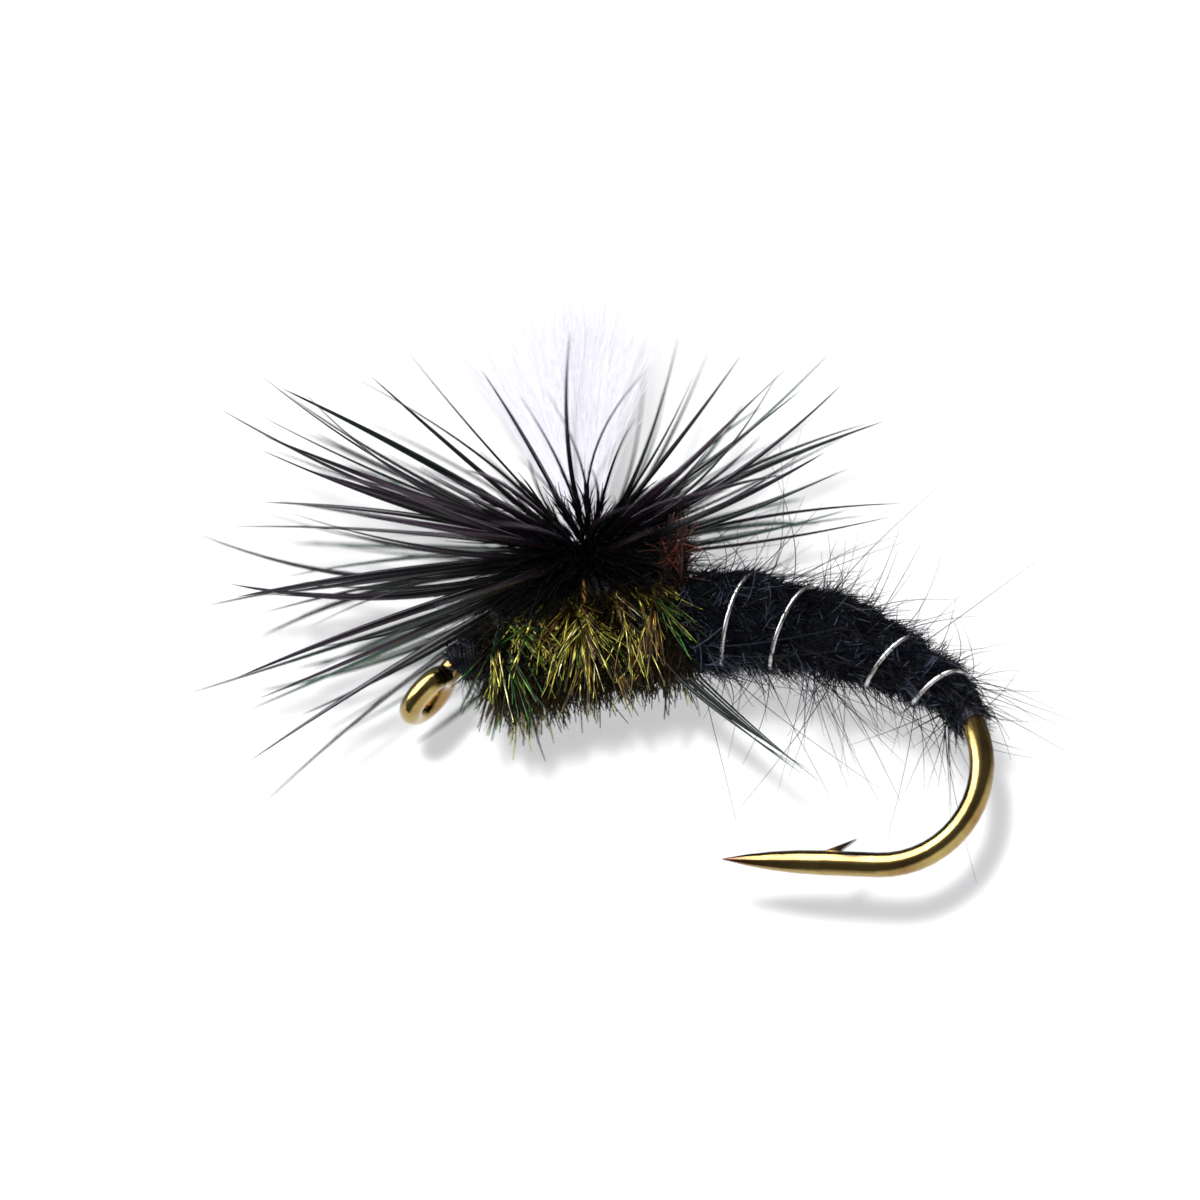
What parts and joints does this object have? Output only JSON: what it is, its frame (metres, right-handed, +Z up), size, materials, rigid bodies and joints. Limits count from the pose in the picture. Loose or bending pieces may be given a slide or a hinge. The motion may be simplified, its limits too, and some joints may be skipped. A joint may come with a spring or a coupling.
{
  "type": "dry fly",
  "caption": "Parachute emerger dry fly: curved barbed hook, ribbed fur abdomen, herl thorax, upright yarn post and radial hackle.",
  "frame": {"origin": "centre of the hook eye", "axes": "+X back along the shank to the bend, +Z up the wing post, square to the hackle; the fly is symmetric about the XZ plane"},
  "size_m": [0.016, 0.0152, 0.0135],
  "materials": {
    "bronzed_wire": "bronzed spring steel, glossy",
    "black_thread": "waxed black tying thread",
    "head_thread": "black thread under clear head varnish, glossy",
    "wing_yarn": "pale grey-white poly yarn",
    "hackle_stem": "translucent amber feather quill",
    "hackle_fibre": "glossy black rooster hackle with green and purple tints",
    "herl_quill": "dark olive-brown herl quill",
    "herl_flue": "peacock flue, near black with gold, olive and emerald glints",
    "herl_tag": "trimmed red-brown herl ends",
    "dubbed_fur": "blue-black dubbed fur",
    "rib_wire": "bright fine silver wire"
  },
  "bodies": {
    "dressed_hook": {"hook": "bronzed_wire", "thread_underbody": "black_thread", "thread_head": "head_thread", "thread_butt_binding": "black_thread", "thread_post_wraps": "black_thread", "wing_yarn": "wing_yarn", "hackle_stem": "hackle_stem", "hackle_barbs_1": "hackle_fibre", "hackle_barbs_2": "hackle_fibre", "hackle_barbs_3": "hackle_fibre", "hackle_barbs_4": "hackle_fibre", "stray_barbs": "hackle_fibre", "herl_quill": "herl_quill", "herl_flue": "herl_flue", "herl_tags": "herl_tag", "abdomen_dubbing": "dubbed_fur", "rib_wire": "rib_wire"},
    "wing": {"wing_tuft": "wing_yarn"}
  },
  "joints": [
    {"name": "wing_lean", "type": "hinge", "parent": "dressed_hook", "child": "wing", "pos_m": [0.00365, 0, 0.00262], "axis": [0, 1, 0], "range_deg": [-20, 20], "stiffness_Nm_per_rad": 0.00001}
  ]
}
